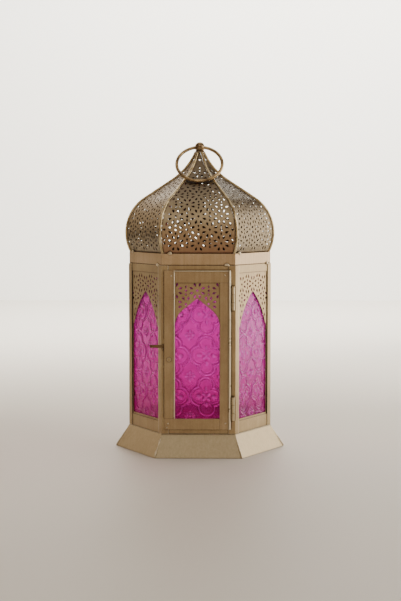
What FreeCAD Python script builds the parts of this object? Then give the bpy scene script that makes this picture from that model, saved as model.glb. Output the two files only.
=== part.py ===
"""Hexagonal candle lantern: soldered sheet-metal body, pierced onion dome, embossed glass panes,
a hinged door with a thumb latch, and a carrying ring.

The door faces -Y, +X is to the right of the door, +Z is up, and the origin is the middle of the
foot where the lantern stands.
"""
import FreeCAD, Part
import math
import os

V = FreeCAD.Vector
Z_AXIS = V(0, 0, 1)
X_AXIS = V(1, 0, 0)
UPRIGHT = FreeCAD.Rotation(X_AXIS, 90)
COS30 = math.cos(math.radians(30))
TAN30 = math.tan(math.radians(30))

doc = FreeCAD.newDocument("lantern")

DRIVING_SIZES = [
    # sheet metal and glass
    ("sheet", 0.5),
    ("thin_sheet", 0.45),
    ("pane", 2.0),
    # foot
    ("skirt_radius", 85.5),
    ("skirt_height", 21.8),
    ("skirt_hem", 7.0),
    # body
    ("body_radius", 72.0),
    ("body_height", 164.2),
    ("post_flange", 7.0),
    ("bottom_rail_height", 11.7),
    ("top_rail_height", 7.6),
    ("panel_lap", 5.0),
    ("panel_margin", 2.0),
    ("arch_border", 1.5),
    ("arch_foot", 13.7),
    ("arch_drop", 18.9),
    ("arch_rise", 34.0),
    ("arch_shoulder", 1.5),
    ("arch_bulge", 3.3),
    ("pane_lap", 2.5),
    ("pane_foot", 8.0),
    ("pane_head", 11.2),
    # pattern pressed into the panes
    ("relief", 0.75),
    ("tile_width", 32.0),
    ("tile_height", 40.0),
    ("tile_side", 15.0),
    ("door_tile_side", 7.7),
    ("tile_rise", 76.7),
    ("side_lobe_reach", 6.1),
    ("side_lobe_radius", 9.1),
    ("end_lobe_reach", 11.2),
    ("end_lobe_radius", 7.6),
    ("cord", 0.7),
    ("boss_reach", 7.2),
    ("boss_radius", 2.2),
    ("flower_radius", 1.6),
    # tabs that hold the panes
    ("clip_width", 4.0),
    ("clip_thickness", 0.7),
    ("clip_lip", 2.2),
    ("clip_play", 0.1),
    ("clip_low", 30.0),
    ("clip_high_drop", 36.2),
    # band and solder
    ("groove", 0.5),
    ("band_inset", 0.7),
    ("band_height", 10.9),
    ("sleeve_height", 3.0),
    ("sleeve_play", 0.1),
    ("sleeve_gap", 0.4),
    ("tack_radius", 1.2),
    ("tack_inset", 8.0),
    # dome, measured on the hips
    ("dome_inset", 1.7),
    ("dome_lap", 3.0),
    ("bulge_rise", 18.8),
    ("bulge_radius", 41.4),
    ("bulge_angle", 56.6),
    ("neck_radius", 66.3),
    ("neck_top", 4.1),
    ("dome_height", 99.5),
    ("rib_radius", 1.3),
    ("rib_solder", 0.02),
    # piercing
    ("rosette_pitch", 22.0),
    ("rosette_rise", 13.2),
    ("rosette_first", 10.0),
    ("rosette_lift", 7.4),
    ("petal_reach", 6.0),
    ("petal_length", 4.2),
    ("petal_width", 2.3),
    ("diamond_width", 2.6),
    ("bud_reach", 3.6),
    ("bud_length", 2.9),
    ("bud_width", 1.7),
    ("pierce_margin", 2.0),
    # finial and ring
    ("collar_radius", 5.7),
    ("collar_top_radius", 3.9),
    ("collar_height", 2.0),
    ("ball_radius", 5.2),
    ("ball_rise", 3.0),
    ("ring_radius", 22.65),
    ("ring_wire", 1.65),
    ("ring_hole", 2.45),
    ("ring_lean", 40.9),
    # door
    ("door_left_reveal", 2.8),
    ("door_right_reveal", 4.4),
    ("door_foot", 4.5),
    ("door_head", 4.7),
    ("door_gap", 0.3),
    ("door_depth", 2.5),
    ("stile_left", 10.4),
    ("stile_right", 11.0),
    ("door_top", 12.0),
    ("door_bottom", 10.7),
    ("door_play", 0.1),
    ("door_arch_drop", 42.1),
    ("door_arch_corner", 20.0),
    ("door_arch_pitch", 39.0),
    ("door_pane_foot", 13.1),
    ("door_pane_head", 13.1),
    # hinges
    ("hinge_length", 23.0),
    ("hinge_low", 13.2),
    ("hinge_high_drop", 43.5),
    ("knuckle_radius", 1.5),
    ("knuckle_gap", 0.2),
    ("leaf", 0.6),
    ("leaf_width", 3.2),
    ("pin_radius", 0.8),
    ("pin_play", 0.05),
    ("pin_head", 0.8),
    # latch
    ("rivet_in", 4.7),
    ("rivet_up", 72.9),
    ("rivet_radius", 1.2),
    ("rivet_head_radius", 2.0),
    ("rivet_head", 0.8),
    ("rivet_tail", 0.3),
    ("lever_sheet", 0.6),
    ("lever_play", 0.3),
    ("lever_reach", 18.9),
    ("lever_rise", 14.3),
    ("lever_tab", 3.0),
    ("lever_drop", 6.7),
    ("lever_slot_below", 1.0),
    ("lever_slot_above", 5.5),
    ("lever_arm", 5.0),
    ("lever_nose", 2.4),
    ("keeper_radius", 0.8),
    ("keeper_length", 2.0),
    ("keeper_in", 1.2),
]
dims = doc.addObject("Spreadsheet::Sheet", "dims")
for row, (alias, value) in enumerate(DRIVING_SIZES, 1):
    dims.set(f"A{row}", str(value))
    dims.setAlias(f"A{row}", alias)

# Levels and planes that follow from the driving sizes
DERIVED_SIZES = [
    ("face", "=dims.body_radius * sqrt(3) / 2"),
    ("rail_face", "=face - dims.sheet"),
    ("panel_face", "=rail_face - dims.sheet"),
    ("glass_face", "=panel_face - dims.thin_sheet"),
    ("clip_face", "=glass_face - dims.pane"),
    ("floor_top", "=dims.skirt_height + dims.sheet"),
    ("body_top", "=floor_top + dims.body_height"),
    ("arch_width", "=dims.body_radius - 2 * (dims.post_flange + dims.arch_border)"),
    ("arch_spring", "=dims.body_height - dims.top_rail_height - dims.arch_drop - dims.arch_rise"),
    ("pane_height", "=dims.body_height - dims.pane_foot - dims.pane_head"),
    ("clip_high", "=dims.body_height - dims.clip_high_drop"),
    ("band_foot", "=body_top + dims.groove"),
    ("band_top", "=band_foot + dims.band_height"),
    ("band_radius", "=dims.body_radius - dims.band_inset"),
    ("band_face", "=band_radius * sqrt(3) / 2"),
    ("sleeve_face", "=panel_face - dims.sleeve_play"),
    ("sleeve_foot", "=body_top - dims.top_rail_height + dims.panel_lap + dims.sleeve_gap"),
    ("dome_foot", "=band_top + dims.groove"),
    ("dome_foot_radius", "=band_radius - dims.dome_inset"),
    ("bulge_reach", "=dome_foot_radius - sqrt(dims.bulge_radius ^ 2 - dims.bulge_rise ^ 2)"),
    ("dome_top", "=dome_foot + dims.dome_height"),
    ("collar_top", "=dome_top + dims.collar_height"),
    ("ball_level", "=collar_top + dims.ball_rise"),
    ("door_back", "=face + dims.door_gap"),
    ("door_front", "=door_back + dims.door_depth"),
    ("door_sheet_front", "=door_front - dims.sheet"),
    ("door_sheet_back", "=door_sheet_front - dims.thin_sheet"),
    ("door_pane_back", "=door_sheet_back - dims.pane"),
    ("door_left", "=dims.body_radius / 2 - dims.door_left_reveal"),
    ("door_right", "=dims.body_radius / 2 - dims.door_right_reveal"),
    ("door_height", "=dims.body_height - dims.door_foot - dims.door_head"),
    ("door_low", "=floor_top + dims.door_foot"),
    ("door_high", "=door_low + door_height"),
    ("door_arch_spring", "=dims.door_foot + door_height - dims.door_top - dims.door_arch_drop"),
    ("door_pane_height", "=dims.body_height - dims.door_pane_foot - dims.door_pane_head"),
    ("hinge_high", "=dims.body_height - dims.hinge_high_drop"),
    ("door_open_left", "=door_left - dims.stile_left"),
    ("door_open_right", "=door_right - dims.stile_right"),
    ("door_pane_left", "=door_open_left + dims.pane_lap"),
    ("door_pane_right", "=door_open_right + dims.pane_lap"),
    ("hinge_x", "=door_right + dims.leaf + dims.knuckle_radius"),
    ("hinge_y", "=door_front - dims.knuckle_radius / 4"),
    ("rivet_x", "=door_left - dims.rivet_in"),
    ("rivet_z", "=floor_top + dims.rivet_up"),
    ("lever_front", "=door_sheet_back - dims.lever_play"),
    ("lever_back", "=lever_front - dims.lever_sheet"),
]
levels = doc.addObject("Spreadsheet::Sheet", "levels")
for row, (alias, formula) in enumerate(DERIVED_SIZES, 1):
    levels.set(f"A{row}", formula)
    levels.setAlias(f"A{row}", alias)
doc.recompute()


def size(alias):
    """Value of a driving size or of a derived one, in millimetres or degrees."""
    known = {name for name, value in DRIVING_SIZES}
    return float((dims if alias in known else levels).get(alias))


def bind(obj, expressions):
    for prop, text in expressions.items():
        obj.setExpression(prop, text)
    return obj


def place(obj, x, y, z, turn=0):
    """Put a primitive at x, y, z, then turn that place about the lantern's axis."""
    obj.Placement = FreeCAD.Placement(V(), FreeCAD.Rotation(Z_AXIS, turn).multiply(obj.Placement.Rotation))
    return bind(obj, {
        "Placement.Base.x": f"({x}) * cos({turn} deg) - ({y}) * sin({turn} deg)",
        "Placement.Base.y": f"({x}) * sin({turn} deg) + ({y}) * cos({turn} deg)",
        "Placement.Base.z": z,
    })


def box(name, low, high, turn=0):
    """Box between two corners that are written as expressions."""
    obj = doc.addObject("Part::Box", name)
    edges = zip(("Length", "Width", "Height"), low, high)
    bind(obj, {edge: f"({top}) - ({bottom})" for edge, bottom, top in edges})
    return place(obj, low[0], low[1], low[2], turn)


def cylinder(name, radius, length, x, y, z, rotation=None, turn=0):
    obj = doc.addObject("Part::Cylinder", name)
    bind(obj, {"Radius": radius, "Height": length})
    if rotation:
        obj.Placement = FreeCAD.Placement(V(), rotation)
    return place(obj, x, y, z, turn)


def hexagon(name, radius, height, z):
    """Six-sided prism with a corner on +X and a flat side towards the door."""
    obj = doc.addObject("Part::Prism", name)
    obj.Polygon = 6
    bind(obj, {"Circumradius": radius, "Height": height})
    return place(obj, "0", "0", z)


def combine(kind, name, base, tool):
    obj = doc.addObject(kind, name)
    obj.Base = base
    obj.Tool = tool
    return obj


def cut(name, base, tool):
    return combine("Part::Cut", name, base, tool)


def common(name, base, tool):
    return combine("Part::Common", name, base, tool)


def fuse(name, pieces):
    obj = doc.addObject("Part::MultiFuse", name)
    obj.Shapes = pieces
    return obj


def group(name, pieces):
    obj = doc.addObject("Part::Compound", name)
    obj.Links = pieces
    return obj


def shaped(name, shape, turn=0):
    """Piece whose outline no primitive has; turned about the lantern's axis."""
    obj = doc.addObject("Part::Feature", name)
    obj.Shape = shape
    obj.Placement = FreeCAD.Placement(V(), FreeCAD.Rotation(Z_AXIS, turn))
    return obj


def hexagon_ring(name, radius, wall, height, z):
    outer = hexagon(f"{name}_outer", radius, height, z)
    inner = hexagon(f"{name}_inner", f"{radius} - {wall} * 2 / sqrt(3)", height, z)
    return cut(name, outer, inner)


pieces = []
fixed_faces = {1: 60, 2: 120, 3: 180, 4: 240, 5: 300}


# Foot: a flared hexagonal skirt, hollow, with its lower edge turned in to stand on
def flared(name, low_radius, high_radius):
    sections = []
    for level, radius, z in (("low", low_radius, "0"), ("high", high_radius, "dims.skirt_height")):
        outline = doc.addObject("Part::RegularPolygon", f"{name}_{level}")
        outline.Polygon = 6
        bind(outline, {"Circumradius": radius})
        sections.append(place(outline, "0", "0", z))
    loft = doc.addObject("Part::Loft", name)
    loft.Sections = sections
    loft.Solid = True
    loft.Ruled = True
    return loft


SKIRT_WALL = "dims.sheet * 2 / sqrt(3)"
skirt_outer = flared("skirt_outer", "dims.skirt_radius", "dims.body_radius")
skirt_inner = flared("skirt_inner", f"dims.skirt_radius - {SKIRT_WALL}", f"dims.body_radius - {SKIRT_WALL}")
skirt_wall = cut("skirt_wall", skirt_outer, skirt_inner)
hem_plate = hexagon("hem_plate", f"dims.skirt_radius - {SKIRT_WALL}", "dims.sheet", "0")
hem_hole = hexagon("hem_hole", "dims.skirt_radius - dims.skirt_hem", "dims.sheet", "0")
hem_ring = cut("hem_ring", hem_plate, hem_hole)
hem = common("hem", hem_ring, flared("hem_limit", "dims.skirt_radius", "dims.body_radius"))
pieces.append(fuse("base_skirt", [skirt_wall, hem]))
pieces.append(hexagon("floor_plate", "dims.body_radius", "dims.sheet", "dims.skirt_height"))

# Body frame: two hexagonal rails inside six folded corner posts
RAIL_RADIUS = "levels.rail_face * 2 / sqrt(3)"
pieces.append(hexagon_ring("bottom_rail", RAIL_RADIUS, "dims.sheet", "dims.bottom_rail_height",
                           "levels.floor_top"))
pieces.append(hexagon_ring("top_rail", RAIL_RADIUS, "dims.sheet", "dims.top_rail_height",
                           "levels.body_top - dims.top_rail_height"))
for number in range(1, 7):
    name = f"corner_post_{number}"
    strip = hexagon_ring(f"{name}_strip", "dims.body_radius", "dims.sheet", "dims.body_height",
                         "levels.floor_top")
    corner = box(f"{name}_corner", ("dims.body_radius - dims.post_flange / 2", "-dims.body_radius",
                                    "levels.floor_top"),
                 ("dims.body_radius", "dims.body_radius", "levels.body_top"))
    post = common(name, strip, corner)
    post.Placement = FreeCAD.Placement(V(), FreeCAD.Rotation(Z_AXIS, 60 * (number - 1)))
    pieces.append(post)


# Piercing: kite-shaped petals round a diamond, on a staggered lattice of rosettes
def kite(length, width):
    """Corners of a kite about the origin, long way along x."""
    shoulder = length * 0.15
    return [V(-length / 2, 0, 0), V(shoulder, -width / 2, 0), V(length / 2, 0, 0), V(shoulder, width / 2, 0)]


def rosette_holes(columns, rows, first):
    """Middle, direction in degrees and kite size of each hole, in the flat sheet."""
    pitch, rise = size("rosette_pitch"), size("rosette_rise")
    diamond = size("diamond_width")
    holes = []
    for row_number in range(rows):
        for column in range(-columns, columns + 1):
            across = (column + (row_number % 2) / 2) * pitch
            along = first + row_number * rise
            holes.append((across, along, 90, diamond, diamond))
            holes.append((across + pitch / 2, along, 0, diamond, diamond))
            for side in (-1, 1):
                holes.append((across + pitch / 2, along + side * size("bud_reach"), 90 * side,
                              size("bud_length"), size("bud_width")))
            for petal in range(8):
                angle = 22.5 + 45 * petal
                middle_x = across + size("petal_reach") * math.cos(math.radians(angle))
                middle_y = along + size("petal_reach") * math.sin(math.radians(angle))
                holes.append((middle_x, middle_y, angle, size("petal_length"), size("petal_width")))
    return holes


def hole_tool(direction, length, width, placement, depth):
    corners = kite(length, width)
    outline = Part.makePolygon(corners + corners[:1])
    outline.rotate(V(), Z_AXIS, direction)
    tool = Part.Face(outline).extrude(V(0, 0, 2 * depth))
    tool.translate(V(0, 0, -depth))
    tool.Placement = placement.multiply(tool.Placement)
    return tool


def pierced(sheet_shape, tools):
    return sheet_shape.cut(Part.makeCompound(tools))


# Fixed faces: a thin sheet with a lancet arch, the pressed pane behind it, and the soldered tabs
def line(a, b):
    return Part.LineSegment(a, b).toShape()


def lancet_arc(half, rise, bulge):
    """Middle point, centre and radius of the arc from (half, 0) to (0, rise) that bulges outward."""
    chord = math.hypot(half, rise)
    radius = (chord * chord / 4 + bulge * bulge) / (2 * bulge)
    outward = (rise / chord, half / chord)
    on_arc = (half / 2 + bulge * outward[0], rise / 2 + bulge * outward[1])
    centre = (on_arc[0] - radius * outward[0], on_arc[1] - radius * outward[1])
    return on_arc, centre, radius


def lancet_outline(half, foot, spring, rise, shoulder, bulge):
    """Closed outline in the XZ plane, with a small step in at the springing."""
    narrow = half - shoulder
    on_arc = lancet_arc(narrow, rise, bulge)[0]
    apex = V(0, 0, spring + rise)
    edges = [line(V(-half, 0, foot), V(half, 0, foot))]
    for side in (1, -1):
        step = V(side * half, 0, spring)
        knee = V(side * narrow, 0, spring)
        edges.append(line(V(side * half, 0, foot), step))
        edges.append(line(step, knee))
        edges.append(Part.Arc(knee, V(side * on_arc[0], 0, spring + on_arc[1]), apex).toShape())
    return Part.Face(Part.Wire(Part.sortEdges(edges)[0]))


def panel_shape():
    floor_top = size("floor_top")
    half = size("panel_face") * TAN30 - size("panel_margin")
    low = floor_top + size("bottom_rail_height") - size("panel_lap")
    rail_low = size("body_top") - size("top_rail_height")
    thick = size("thin_sheet")
    sheet_shape = Part.makeBox(2 * half, thick, rail_low + size("panel_lap") - low,
                               V(-half, -size("panel_face"), low))
    spring = floor_top + size("arch_spring")
    arch_half = size("arch_width") / 2
    arch = lancet_outline(arch_half, floor_top + size("arch_foot"), spring, size("arch_rise"),
                          size("arch_shoulder"), size("arch_bulge"))
    arch.translate(V(0, -size("panel_face") - thick, 0))
    sheet_shape = sheet_shape.cut(arch.extrude(V(0, 3 * thick, 0)))
    centre, radius = lancet_arc(arch_half - size("arch_shoulder"), size("arch_rise"), size("arch_bulge"))[1:]
    margin = size("pierce_margin")
    tools = []
    first = size("arch_rise") + size("rosette_lift") - 2 * size("rosette_rise")
    for across, along, direction, length, width in rosette_holes(2, 4, first):
        height = spring + along
        clear_of_arch = math.hypot(abs(across) - centre[0], along - centre[1]) > radius + margin
        if clear_of_arch and height < rail_low - margin and abs(across) < arch_half:
            where = FreeCAD.Placement(V(across, -size("panel_face"), height), UPRIGHT)
            tools.append(hole_tool(direction, length, width, where, 2 * thick))
    return pierced(sheet_shape, tools)


panel = panel_shape()
for number, turn in fixed_faces.items():
    pieces.append(shaped(f"panel_{number}", panel, turn))



def lobes(grow):
    """Four overlapping discs that make a quatrefoil, standing out along -Y."""
    side, end = size("side_lobe_reach"), size("end_lobe_reach")
    discs = []
    for x, z, radius in ((side, 0, size("side_lobe_radius")), (-side, 0, size("side_lobe_radius")),
                         (0, end, size("end_lobe_radius")), (0, -end, size("end_lobe_radius"))):
        discs.append(Part.makeCylinder(radius + grow, 2 * size("relief"), V(x, 0, z), V(0, 1, 0)))
    return discs[0].multiFuse(discs[1:])


def tile_shapes():
    """Raised cord of one quatrefoil, the bosses inside it and the boss between four of them."""
    reach = size("boss_reach")
    shapes = [lobes(size("cord")).cut(lobes(-size("cord")))]
    for x, z, radius in ((reach, 0, size("boss_radius")), (-reach, 0, size("boss_radius")),
                         (0, 0, size("flower_radius")),
                         (size("tile_width") / 2, size("tile_height") / 2, size("boss_radius"))):
        shapes.append(Part.makeCylinder(radius, 2 * size("relief"), V(x, 0, z), V(0, 1, 0)))
    return shapes


def pane_shape(left, right, foot, height, front, tile_x, tile_z):
    """Pane with its back flat and its front pressed with raised quatrefoils."""
    relief, width, tall = size("relief"), size("tile_width"), size("tile_height")
    slab = Part.makeBox(right - left, size("pane") - relief, height, V(left, front + relief, foot))
    limit = Part.makeBox(right - left, size("pane"), height, V(left, front, foot))
    columns = range(math.floor((left - tile_x) / width), math.ceil((right - tile_x) / width) + 1)
    levels_up = range(math.floor((foot - tile_z) / tall), math.ceil((foot + height - tile_z) / tall) + 1)
    raised = []
    for shape in tile_shapes():
        for column in columns:
            for level in levels_up:
                copy = shape.copy()
                copy.translate(V(tile_x + column * width, front, tile_z + level * tall))
                if copy.BoundBox.intersect(limit.BoundBox):
                    raised.append(copy)
    return slab.multiFuse(raised).common(limit)


GLASS_HALF = "levels.arch_width / 2 + dims.pane_lap"
glass_half = size("arch_width") / 2 + size("pane_lap")
side_pane = pane_shape(-glass_half, glass_half, size("floor_top") + size("pane_foot"), size("pane_height"),
                       -size("glass_face"), size("tile_side"), size("floor_top") + size("tile_rise"))
CLIP_LEVELS = {"low": "dims.clip_low", "high": "levels.clip_high"}
clips = []
for number, turn in fixed_faces.items():
    pieces.append(shaped(f"glass_{number}", side_pane, turn))
    for side in (-1, 1):
        for level, rise in CLIP_LEVELS.items():
            name = f"clip_{number}_{side + 1}_{level}"
            foot = f"levels.floor_top + {rise}"
            head = f"{foot} + dims.clip_width"
            inner = f"{GLASS_HALF} + dims.clip_play"
            outer = f"{inner} + dims.clip_thickness"
            leg_x = (inner, outer) if side > 0 else (f"-({outer})", f"-({inner})")
            tip = f"{GLASS_HALF} - dims.clip_lip"
            lip_x = (tip, outer) if side > 0 else (f"-({outer})", f"-({tip})")
            back = "-levels.clip_face + dims.clip_thickness"
            leg = box(f"{name}_leg", (leg_x[0], "-levels.glass_face", foot), (leg_x[1], back, head), turn)
            lip = box(f"{name}_lip", (lip_x[0], "-levels.clip_face", foot), (lip_x[1], back, head), turn)
            clips.append(fuse(name, [leg, lip]))
pieces.append(group("glass_clips", clips))

# Band under the dome: a plain hexagon on tacks of solder, with a sleeve inside that centres it on the body
BAND_INSIDE = "(levels.band_face - dims.sheet) * 2 / sqrt(3)"
band_wall = hexagon_ring("band_wall", "levels.band_radius", "dims.sheet", "dims.band_height",
                         "levels.band_foot")
sleeve_root = hexagon_ring("sleeve_root", BAND_INSIDE, "(levels.band_face - levels.sleeve_face)",
                           "dims.sleeve_height", "levels.band_foot")
sleeve = hexagon_ring("sleeve", "levels.sleeve_face * 2 / sqrt(3)", "dims.sheet",
                      "levels.band_foot - levels.sleeve_foot", "levels.sleeve_foot")
pieces.append(fuse("lid_band", [band_wall, sleeve_root, sleeve]))
tacks = []
TACK_X = "levels.band_radius / 2 - dims.tack_inset"
GORE_FACE = "levels.dome_foot_radius * sqrt(3) / 2"
TACK_SEATS = {
    "band_top": (f"-({TACK_X})", f"{GORE_FACE} + dims.sleeve_play + dims.tack_radius"),
    "body_top": (TACK_X, "levels.panel_face + dims.tack_radius"),
}
for corner in range(6):
    for level, (x, reach) in TACK_SEATS.items():
        tacks.append(cylinder(f"tack_{corner}_{level}", "dims.tack_radius", "dims.groove", x, f"-({reach})",
                              f"levels.{level}", turn=60 * corner))
pieces.append(group("solder_tacks", tacks))


# Dome: six pierced gores curved one way only, soldered to round wires that follow the hips
def profile_arc(centre_r, centre_z, radius, start, end, scale):
    """Arc of the hip profile in the plane x = 0, drawn in towards the axis by scale."""
    def at(angle):
        return V(0, -scale * (centre_r + radius * math.cos(angle)), centre_z + radius * math.sin(angle))
    if scale == 1:
        return Part.Arc(at(start), at((start + end) / 2), at(end)).toShape()
    centre = V(0, -scale * centre_r, centre_z)
    ellipse = Part.Ellipse(centre + V(0, 0, radius), centre + V(0, -scale * radius, 0), centre)
    limits = sorted((ellipse.parameter(at(start)), ellipse.parameter(at(end))))
    return Part.ArcOfEllipse(ellipse, limits[0], limits[1]).toShape()


def slope_length(slope, across, bulge_r, bulge_z):
    """Straight run between bulge and neck that brings the neck to its radius at the top."""
    reach = bulge_r + across * math.cos(slope) - size("neck_top")
    rise = bulge_z + across * math.sin(slope) - size("dome_top")
    half = rise * math.cos(slope) - reach * math.sin(slope)
    rest = reach * reach + rise * rise - size("neck_radius") ** 2
    return -half - math.sqrt(half * half - rest)


def dome_profile(inset, scale, lap=0):
    """Bulge, slope and neck from the foot to the top, set in from the hip line by inset."""
    slope = math.radians(size("bulge_angle"))
    bulge_r, bulge_z = size("bulge_reach"), size("dome_foot") + size("bulge_rise")
    bulge = size("bulge_radius") - inset
    neck = size("neck_radius") + inset
    across = size("bulge_radius") + size("neck_radius")
    run = slope_length(slope, across, bulge_r, bulge_z)
    neck_r = bulge_r + across * math.cos(slope) - run * math.sin(slope)
    neck_z = bulge_z + across * math.sin(slope) + run * math.cos(slope)
    foot_angle = -math.asin((size("bulge_rise") + lap) / bulge)
    top_angle = math.asin((neck_z - size("dome_top")) / neck)
    low = profile_arc(bulge_r, bulge_z, bulge, foot_angle, slope, scale)
    high = profile_arc(neck_r, neck_z, neck, math.pi + slope, math.pi + top_angle, scale)
    middle = line(max(low.Vertexes, key=lambda v: v.Z).Point, min(high.Vertexes, key=lambda v: v.Z).Point)
    return [low, middle, high]


def profile_ends(edges):
    points = [vertex.Point for edge in edges for vertex in edge.Vertexes]
    return min(points, key=lambda p: p.z), max(points, key=lambda p: p.z)


def point_along(edges, distance):
    """Point and upward direction at a distance along the profile from its foot."""
    for edge in edges:
        if distance <= edge.Length:
            break
        distance -= edge.Length
    rising = edge.valueAt(edge.FirstParameter).z < edge.valueAt(edge.LastParameter).z
    parameter = edge.getParameterByLength(distance if rising else edge.Length - distance)
    tangent = edge.tangentAt(parameter)
    return edge.valueAt(parameter), tangent if tangent.z > 0 else tangent * -1


def gore_shape():
    lap = size("dome_lap")
    outer = dome_profile(0, COS30, lap)
    inner = dome_profile(size("thin_sheet") / COS30, COS30, lap)
    foot_line = line(profile_ends(outer)[0], profile_ends(inner)[0])
    top_line = line(profile_ends(outer)[1], profile_ends(inner)[1])
    section = Part.Face(Part.Wire(Part.sortEdges(outer + inner + [foot_line, top_line])[0]))
    reach = size("bulge_reach") + size("bulge_radius")
    section.translate(V(-reach, 0, 0))
    curved = section.extrude(V(2 * reach, 0, 0))
    apex = V(0, -2 * (size("rib_radius") + size("rib_solder")), size("dome_foot") - lap)
    far = reach / TAN30
    wedge = Part.makePolygon([apex, apex + V(reach, -far, 0), apex + V(-reach, -far, 0), apex])
    gore = curved.common(Part.Face(wedge).extrude(V(0, 0, size("dome_height") + lap)))
    seen = dome_profile(0, COS30)
    length = sum(edge.Length for edge in seen)
    margin = size("pierce_margin")
    rows = int(length / size("rosette_rise")) + 1
    tools = []
    for across, along, direction, hole_length, width in rosette_holes(2, rows, size("rosette_first")):
        if margin < along < length - 4 * margin:
            point, upward = point_along(seen, along)
            half = -point.y * TAN30 - size("rib_radius") / COS30
            if abs(across) < half - margin:
                outward = V(0, -upward.z, upward.y)
                where = FreeCAD.Placement(point + V(across, 0, 0),
                                          FreeCAD.Rotation(X_AXIS, upward, outward, "ZXY"))
                tools.append(hole_tool(direction, hole_length, width, where, 2 * size("thin_sheet")))
    return pierced(gore, tools)


def rib_shape():
    path = dome_profile(0, 1, size("dome_lap"))
    foot, upward = point_along(path, 0)
    ring = Part.Wire(Part.makeCircle(size("rib_radius"), foot, upward))
    wire = Part.Wire(Part.sortEdges(path)[0]).makePipeShell([ring], True, False)
    reach = 2 * (size("bulge_reach") + size("bulge_radius"))
    low = size("band_top") + size("rib_solder")
    slab = Part.makeBox(reach, reach, size("dome_top") - low, V(-reach / 2, -reach, low))
    return wire.common(slab)


gore = gore_shape()
rib = rib_shape()
for number in range(1, 7):
    pieces.append(shaped(f"dome_gore_{number}", gore, 60 * (number - 1)))
    pieces.append(shaped(f"dome_rib_{number}", rib, 60 * (number - 1) + 30))

# Finial: a turned collar on the rib ends and a ball drilled across for the ring
collar = doc.addObject("Part::Cone", "finial_collar")
bind(collar, {"Radius1": "dims.collar_radius", "Radius2": "dims.collar_top_radius",
              "Height": "dims.collar_height"})
pieces.append(place(collar, "0", "0", "levels.dome_top"))
ball = doc.addObject("Part::Sphere", "ball_blank")
bind(ball, {"Radius": "dims.ball_radius"})
place(ball, "0", "0", "levels.ball_level")
seat = box("ball_seat", ("-dims.ball_radius", "-dims.ball_radius", "levels.collar_top - dims.ball_radius"),
           ("dims.ball_radius", "dims.ball_radius", "levels.collar_top"))
eye = cylinder("ball_eye", "dims.ring_hole", "2 * dims.ball_radius", "-dims.ball_radius", "0",
               "levels.ball_level", FreeCAD.Rotation(V(0, 1, 0), 90))
pieces.append(cut("finial_ball", cut("ball_flat", ball, seat), eye))

# Carrying ring: round wire through the ball, leaning on the front of the dome
ring = doc.addObject("Part::Torus", "ring_handle")
bind(ring, {"Radius1": "dims.ring_radius", "Radius2": "dims.ring_wire"})
ring.Placement = FreeCAD.Placement(V(), FreeCAD.Rotation(X_AXIS, 90 - size("ring_lean")))
pieces.append(place(ring, "0", "-dims.ring_radius * sin(dims.ring_lean * 1 deg)",
                    "levels.ball_level - dims.ring_radius * cos(dims.ring_lean * 1 deg)"))


# Door: a thin arched sheet framed by four strips with turned-back outer edges
def door_box(name, x, y, z):
    return box(name, (x[0], f"-({y[0]})", z[0]), (x[1], f"-({y[1]})", z[1]))


STRIP_Y = ("levels.door_front", "levels.door_sheet_front")
EDGE_Y = ("levels.door_sheet_front", "levels.door_back")


def door_strip(name, x, z, edge_x, edge_z):
    face = door_box(f"{name}_face", x, STRIP_Y, z)
    edge = door_box(f"{name}_edge", edge_x, EDGE_Y, edge_z)
    return fuse(name, [face, edge])


def rivet_hole(name):
    return cylinder(name, "dims.rivet_radius + dims.pin_play", "dims.door_depth", "-levels.rivet_x",
                    "-levels.door_back", "levels.rivet_z", UPRIGHT)


left_z = ("levels.door_low + dims.door_bottom", "levels.door_high")
left_strip = door_strip("door_stile_left_strip", ("-levels.door_left", "-levels.door_open_left"), left_z,
                        ("-levels.door_left", "-levels.door_left + dims.sheet"), left_z)
lever_slot = door_box("lever_slot", ("-levels.door_left", "-levels.door_left + dims.sheet"), EDGE_Y,
                      ("levels.rivet_z - dims.lever_drop - dims.lever_slot_below",
                       "levels.rivet_z + dims.lever_rise + dims.lever_slot_above"))
slotted = cut("door_stile_left_slotted", left_strip, lever_slot)
pieces.append(cut("door_stile_left", slotted, rivet_hole("stile_rivet_hole")))
right_x = ("levels.door_open_right", "levels.door_right")
right_z = ("levels.door_low", "levels.door_high - dims.door_top")
pieces.append(door_strip("door_stile_right", right_x, right_z,
                         ("levels.door_right - dims.sheet", "levels.door_right"), right_z))
top_x = ("-levels.door_open_left", "levels.door_right")
pieces.append(door_strip("door_top_rail", top_x, ("levels.door_high - dims.door_top", "levels.door_high"),
                         top_x, ("levels.door_high - dims.sheet", "levels.door_high")))
bottom_x = ("-levels.door_left", "levels.door_open_right")
bottom_z = ("levels.door_low", "levels.door_low + dims.door_bottom")
pieces.append(door_strip("door_bottom_rail", bottom_x, bottom_z, bottom_x,
                         ("levels.door_low", "levels.door_low + dims.sheet")))


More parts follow.
